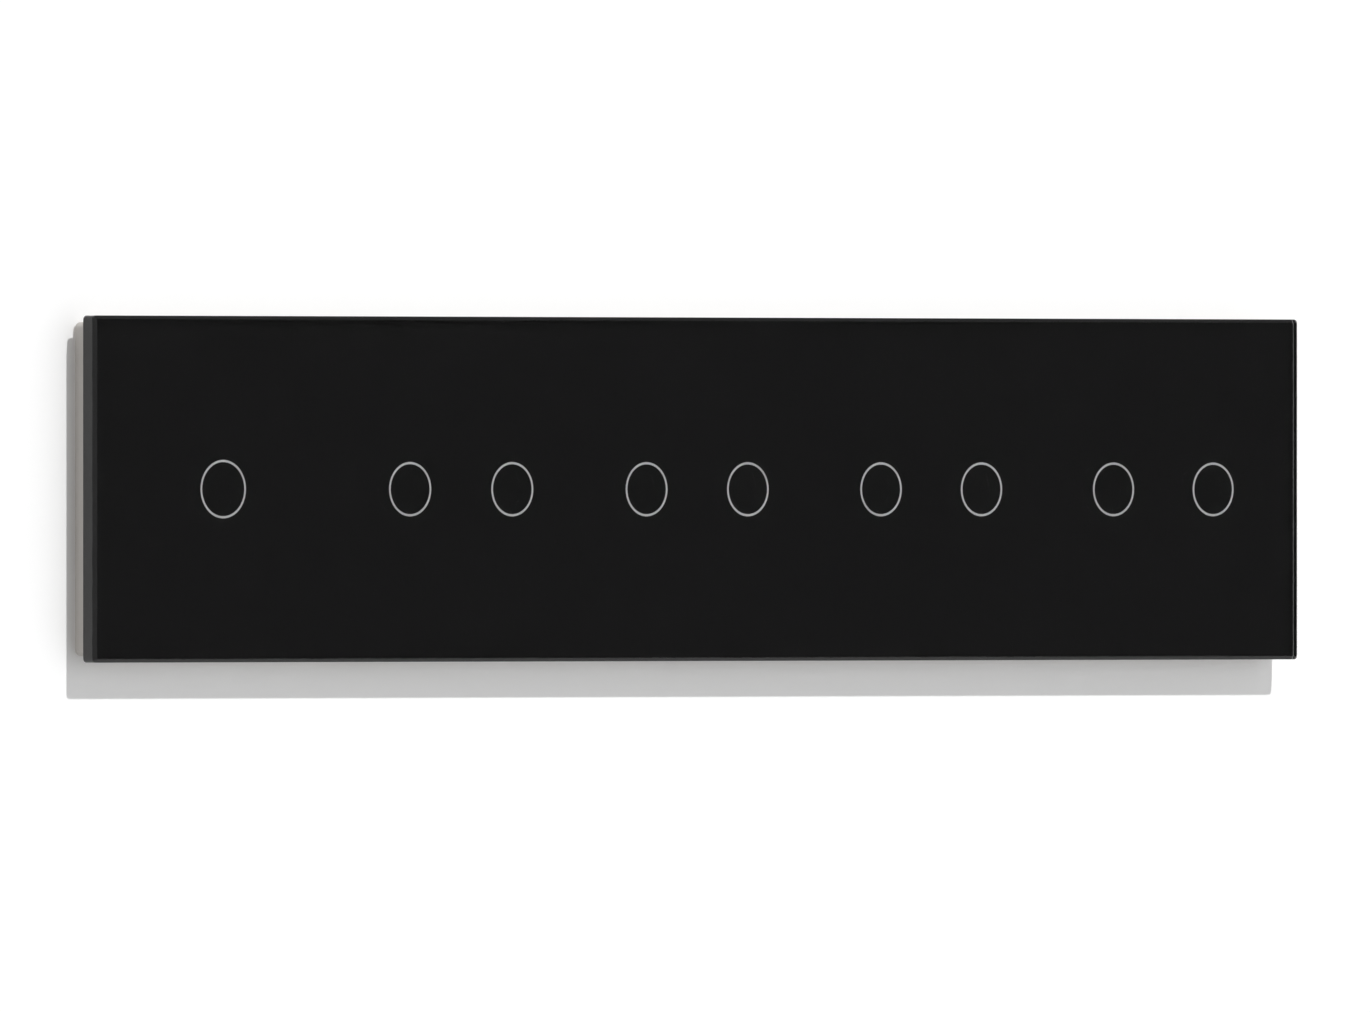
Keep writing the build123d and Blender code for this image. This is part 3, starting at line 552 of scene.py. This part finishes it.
def chips():
    # size over the body, height, leads on each side with their pitch and width, span over the leads, in mm
    kinds = {
        "touchChip": {"board": "touch_board", "spots": [(0.0, -11.4)], "body": (5.0, 4.4), "top": 1.15,
                      "ways": 8, "pitch": 0.65, "wide": 0.26, "span": 6.4},
        "supplyChip": {"board": "power_board", "spots": [(-7.0, 6.0)], "body": (4.9, 3.9), "top": 1.6,
                       "ways": 4, "pitch": 1.27, "wide": 0.42, "span": 6.0},
        "rectifier": {"board": "power_board", "spots": [(8.0, -6.5)], "body": (4.8, 3.9), "top": 2.4,
                      "ways": 2, "pitch": 2.54, "wide": 0.65, "span": 6.6},
    }
    draft, lift, edge = 0.12, 0.1, 0.05  # slope of the moulded sides, gap under the body, rounding
    lead = {"inside": 0.2, "shoulder": 0.25, "sole": 0.6, "overBoard": 0.02, "thick": 0.16}
    resin, solder = chipResin(), brightSolder()
    for name, look in kinds.items():
        bodies, leads = bmesh.new(), bmesh.new()
        halfX, halfZ = look["body"][0] / 2, look["body"][1] / 2
        waist = (look["top"] + lift) / 2
        foot = look["span"] / 2
        levels = [(lift, halfX - draft, halfZ - draft), (waist, halfX, halfZ),
                  (look["top"], halfX - draft, halfZ - draft)]
        path = [(halfZ - lead["inside"], waist), (halfZ + lead["shoulder"], waist),
                (foot - lead["sole"], lead["overBoard"]), (foot, lead["overBoard"])]
        for place in boardPlaces(look["board"], -1, look["spots"]):
            addStack(bodies, place, -1, 4, levels)
            for way in range(look["ways"]):
                along = metres((way - (look["ways"] - 1) / 2) * look["pitch"])
                start = place + Vector((along, 0, 0))
                for side in (-1, 1):
                    addLead(leads, start, -1, side, look["wide"], lead["thick"], path)
        addPiece(name + "Bodies", bodies, resin, edge)
        addPiece(name + "Leads", leads, solder)
    print("chips made")


def smallChips():
    # two-ended parts, 1.6 by 0.8 mm, that lie along the row, with places and sizes in mm
    kinds = {
        "resistors": {"high": 0.45, "slot": "relay_base_plastic", "finish": resistorGlaze(),
                      "touch_board": [(-4.0, 11.0), (-1.3, 11.0), (1.3, 11.0), (4.0, 11.0), (-6.0, -14.0)],
                      "power_board": [(-12.0, 4.0), (-12.0, 6.0), (-12.0, 8.0), (2.0, 7.5), (2.0, 5.5)]},
        "ceramicCapacitors": {"high": 0.8, "slot": "capacitor_box", "finish": firedCeramic(),
                              "touch_board": [(-6.0, -11.0), (6.0, -11.0), (6.0, -14.0)],
                              "power_board": [(-2.5, 9.5), (-2.5, 3.0), (2.0, 3.5)]},
    }
    size = {"halfX": 0.8, "halfZ": 0.4, "cap": 0.28, "overBoard": 0.03, "edge": 0.03}
    tin = {"over": 0.02, "fillet": 0.08, "filletHigh": 0.12}  # thickness of the tin and its solder foot
    halfX, halfZ, halfCap = size["halfX"] - size["cap"] / 2, size["halfZ"], size["cap"] / 2
    caps = bmesh.new()
    for name, look in kinds.items():
        bodies = bmesh.new()
        bodyLevels = [(size["overBoard"], halfX, halfZ), (look["high"], halfX, halfZ)]
        capLevels = [(0.0, halfCap + tin["fillet"], halfZ + tin["fillet"]),
                     (tin["filletHigh"], halfCap, halfZ + tin["over"]),
                     (look["high"] + tin["over"], halfCap, halfZ + tin["over"])]
        for board in ("touch_board", "power_board"):
            for place in boardPlaces(board, -1, look[board]):
                addStack(bodies, place, -1, 4, bodyLevels)
                for side in (-1, 1):
                    addStack(caps, place + Vector((side * metres(halfX), 0, 0)), -1, 4, capLevels)
        addPiece(name, bodies, look["finish"], size["edge"])
    addPiece("tinnedEnds", caps, bpy.data.materials["brightSolder"], size["edge"])
    print("small chips made")


def solderJoints():
    # a hollow cone of solder climbs each pin where it comes through a board, sizes in mm
    look = {"headerPins": 6, "headerPitch": 2.54, "header": (0.85, 0.38), "clamp": (1.2, 0.66),
            "rise": 0.5, "skirt": 0.06, "sides": 16}
    low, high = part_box("board_headers")
    headerZ = (low.z + high.z) / 2 * mmPerMetre
    low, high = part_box("wire_clamps")
    clampZ = (low.z + high.z) / 2 * mmPerMetre
    low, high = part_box("terminal_block_1")
    wayPitch = (high.x - low.x) / waysPerBlock * mmPerMetre
    headerSpots = [((n - (look["headerPins"] - 1) / 2) * look["headerPitch"], headerZ)
                   for n in range(look["headerPins"])]
    clampSpots = [(n * wayPitch, clampZ) for n in (-1, 0, 1)]
    rows = [("touch_board", -1, headerSpots, look["header"]),
            ("power_board", 1, headerSpots, look["header"]),
            ("power_board", -1, clampSpots, look["clamp"])]
    joints = bmesh.new()
    for board, out, spots, (foot, tip) in rows:
        # heights and radii, which draw in fast over the foot and slowly up the pin
        profile = [(0.0, foot), (look["skirt"], foot * 0.9), (look["rise"] * 0.35, (foot + tip) / 2.1),
                   (look["rise"] * 0.7, tip * 1.2), (look["rise"], tip)]
        levels = [(height, radius, radius) for height, radius in profile]
        for place in boardPlaces(board, out, spots):
            addStack(joints, place, out, look["sides"], levels)
    for face in joints.faces:
        face.smooth = len(face.verts) == 4
    addPiece("solderJoints", joints, bpy.data.materials["brightSolder"])
    print("solder joints made")


chips()
smallChips()
solderJoints()


# The wall is white on the room's side and can't be seen from behind

def wallPaint(name, letsLightPass):
    # matt white emulsion, rolled: even, with a very slight mottle that only its light on other things has
    # the camera sees it a little over white, so that the panel's soft shade on it leaves no grey halo
    look = {"colour": "#F4F3F2", "mottle": "#EFEEED", "seen": "#FFFFFF", "mottleMm": 12.0, "bright": 1.06,
            "roughness": 0.9}
    material, tree, surface, place = newMaterial(name)
    rolled = twoShades(tree, place, look["mottleMm"], 2.0, look["colour"], look["mottle"])
    rays = addNode(tree, "ShaderNodeLightPath")
    straight = addNode(tree, "ShaderNodeMath",
                       {0: rays.outputs["Is Camera Ray"], 1: rays.outputs["Is Glossy Ray"]},
                       operation="MAXIMUM")
    seen = addNode(tree, "ShaderNodeMath",
                   {0: straight.outputs[0], 1: rays.outputs["Is Transmission Ray"]}, operation="MAXIMUM")
    bright = (look["bright"], look["bright"], look["bright"], 1.0)
    white = addNode(tree, "ShaderNodeMix",
                    {0: rays.outputs["Is Camera Ray"], 6: linear(look["seen"]), 7: bright}, data_type="RGBA")
    colour = addNode(tree, "ShaderNodeMix", {0: seen.outputs[0], 6: rolled, 7: white.outputs[2]},
                     data_type="RGBA")
    tree.links.new(colour.outputs[2], surface.inputs["Base Color"])
    surface.inputs["Roughness"].default_value = look["roughness"]
    surface.inputs["Specular IOR Level"].default_value = 0.0
    clear = addNode(tree, "ShaderNodeBsdfTransparent")
    absent = addNode(tree, "ShaderNodeNewGeometry").outputs["Backfacing"]
    if letsLightPass:
        unseen = addNode(tree, "ShaderNodeMath", {0: 1.0, 1: seen.outputs[0]}, operation="SUBTRACT")
        absent = addNode(tree, "ShaderNodeMath", {0: absent, 1: unseen.outputs[0]},
                         operation="MAXIMUM").outputs[0]
    oneSided = addNode(tree, "ShaderNodeMixShader",
                       {0: absent, 1: surface.outputs["BSDF"], 2: clear.outputs["BSDF"]})
    tree.links.new(oneSided.outputs["Shader"], tree.nodes["Material Output"].inputs["Surface"])
    return material


def wall():
    # light passes the patch behind the frame, so the carriers show in views from behind
    # the wall ends low enough for the glass's upper arris to mirror the dim top of the room over it
    look = {"halfWidth": 0.6, "behind": 0.0006, "overlap": 0.001}
    half, depth = look["halfWidth"], look["behind"]
    low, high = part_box("backing_frame")
    left, right = low.x + look["overlap"], high.x - look["overlap"]
    bottom, top = low.z + look["overlap"], high.z - look["overlap"]
    mesh = bpy.data.meshes.new("wall")
    outside = [(-half, -half), (half, -half), (half, half), (-half, half)]
    inside = [(left, bottom), (right, bottom), (right, top), (left, top)]
    corners = [(x, depth, z) for x, z in outside + inside]
    sides = [(n, (n + 1) % 4, (n + 1) % 4 + 4, n + 4) for n in range(4)]
    mesh.from_pydata(corners, [], sides + [(4, 5, 6, 7)])
    mesh.materials.append(wallPaint("wallPaint", False))
    mesh.materials.append(wallPaint("wallPatchPaint", True))
    mesh.polygons[4].material_index = 1
    plane = bpy.data.objects.new("wall", mesh)
    scene.collection.objects.link(plane)
    print("wall placed")


wall()


# Light: one hard lamp from above in front, one from behind for the cases, and a white room that is
# lighter from the right. In mirror-like surfaces the front of the room is dark, with paler boards at
# its sides, top and floor, and white behind the wall.

def lamp(name, look):
    light = bpy.data.lights.new(name, "SUN")
    light.energy = look["strength"]
    light.angle = math.radians(look["softDegrees"])
    light.cycles.use_multiple_importance_sampling = False  # the lamp itself isn't seen through the glass
    holder = bpy.data.objects.new(name, light)
    holder.rotation_euler = Vector(look["travel"]).to_track_quat("-Z", "Y").to_euler()
    scene.collection.objects.link(holder)


def lamps():
    # the shadow lies 8.6 mm lower and 0.6 mm further left on the wall than the 9 mm that casts it
    lamp("wallLamp", {"travel": (-0.6, 9.0, -8.6), "strength": 1.95, "softDegrees": 1.6})
    lamp("backLamp", {"travel": (-5.0, -9.0, -5.0), "strength": 1.3, "softDegrees": 6.0})


def whiteRoom():
    look = {"room": 0.55, "fromRight": 0.6, "flag": 0.03}
    # each board fades in between two places on its axis of the room, which runs from -1 to 1
    boards = {
        "sides": {"axis": "sideways", "from": 0.76, "to": 0.92, "level": 0.06},
        "top": {"axis": "Z", "from": 0.48, "to": 0.72, "level": 0.2},
        "floor": {"axis": "Z", "from": -0.55, "to": -0.75, "level": 0.5},
        "behind": {"axis": "Y", "from": 0.02, "to": 0.1, "level": 1.0},
    }
    world = bpy.data.worlds.new("whiteRoom")
    world.use_nodes = True
    scene.world = world
    tree = world.node_tree
    tree.nodes.clear()
    place = addNode(tree, "ShaderNodeTexCoord").outputs["Generated"]
    way = addNode(tree, "ShaderNodeSeparateXYZ", {"Vector": place})
    room = addNode(tree, "ShaderNodeMath",
                   {0: way.outputs["X"], 1: look["room"] * look["fromRight"], 2: look["room"]},
                   operation="MULTIPLY_ADD")
    sideways = addNode(tree, "ShaderNodeMath", {0: way.outputs["X"]}, operation="ABSOLUTE")
    axes = {"sideways": sideways.outputs[0], "Y": way.outputs["Y"], "Z": way.outputs["Z"]}
    mirrored = look["flag"]
    for board in boards.values():
        fade = addNode(tree, "ShaderNodeMapRange",
                       {"Value": axes[board["axis"]], "From Min": board["from"], "From Max": board["to"],
                        "To Min": 0.0, "To Max": board["level"]}, interpolation_type="SMOOTHSTEP")
        mirrored = addNode(tree, "ShaderNodeMath", {0: fade.outputs["Result"], 1: mirrored},
                           operation="MAXIMUM").outputs[0]
    # print behind the glass gets the full level, because the lamps don't shine through it
    rays = addNode(tree, "ShaderNodeLightPath")
    scattered = addNode(tree, "ShaderNodeMath", {0: rays.outputs["Diffuse Depth"], 1: 0.5},
                        operation="GREATER_THAN")
    behindGlass = addNode(tree, "ShaderNodeMath",
                          {0: rays.outputs["Is Transmission Ray"], 1: scattered.outputs[0]},
                          operation="MULTIPLY")
    seen = addNode(tree, "ShaderNodeMath",
                   {0: rays.outputs["Is Camera Ray"], 1: behindGlass.outputs[0]}, operation="MAXIMUM")
    sharp = addNode(tree, "ShaderNodeMath",
                    {0: rays.outputs["Is Glossy Ray"], 1: rays.outputs["Is Transmission Ray"]},
                    operation="MAXIMUM")
    lit = addNode(tree, "ShaderNodeMix", {0: sharp.outputs[0], 2: room.outputs[0], 3: mirrored})
    strength = addNode(tree, "ShaderNodeMix", {0: seen.outputs[0], 2: lit.outputs[0], 3: 1.0})
    background = addNode(tree, "ShaderNodeBackground",
                         {"Color": (1, 1, 1, 1), "Strength": strength.outputs[0]})
    addNode(tree, "ShaderNodeOutputWorld", {"Surface": background.outputs["Background"]})
    scene.view_settings.view_transform = "Standard"
    print("lights set")


lamps()
whiteRoom()


# The photograph shows the front square on but squeezed sideways, with its rings as upright ovals.
# A long lens from the left gives the same outline of the true front: its width is foreshortened.
# The lens is about the longest with which the views from other sides still reach the switch.

def camera():
    photo = {"width": 1370, "height": 1012, "left": 83.5, "right": 1299.5, "top": 317.5, "bottom": 661.0}
    look = {"lensMm": 1200.0, "sensorMm": 36.0, "clipStart": 0.1, "clipEnd": 100.0}
    low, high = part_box("glass_plate")
    size, middle = high - low, (low + high) / 2
    pixelsPerMetre = (photo["bottom"] - photo["top"]) / size.z
    wide = (photo["right"] - photo["left"]) / pixelsPerMetre
    turn = -math.atan2(size.y, size.x) - math.acos(wide / math.hypot(size.x, size.y))
    back = Vector((math.sin(turn), -math.cos(turn), 0))
    right = Vector((math.cos(turn), math.sin(turn), 0))
    distance = photo["width"] / pixelsPerMetre * look["lensMm"] / look["sensorMm"]
    lean = (size.x / 2) ** 2 * right.x * -right.y / distance  # the nearer end looks longer
    aside = ((photo["left"] + photo["right"]) / 2 - photo["width"] / 2) / pixelsPerMetre + lean
    above = (photo["height"] / 2 - (photo["top"] + photo["bottom"]) / 2) / pixelsPerMetre
    lens = bpy.data.cameras.new("camera")
    lens.lens = look["lensMm"]
    lens.sensor_width = look["sensorMm"]
    lens.clip_start = look["clipStart"]
    lens.clip_end = look["clipEnd"]
    holder = bpy.data.objects.new("camera", lens)
    holder.location = middle - right * aside - Vector((0, 0, above)) + back * distance
    holder.rotation_euler = (-back).to_track_quat("-Z", "Y").to_euler()
    scene.collection.objects.link(holder)
    scene.camera = holder
    print("camera turned", round(math.degrees(turn), 2), "degrees, distance", round(distance, 3))


camera()
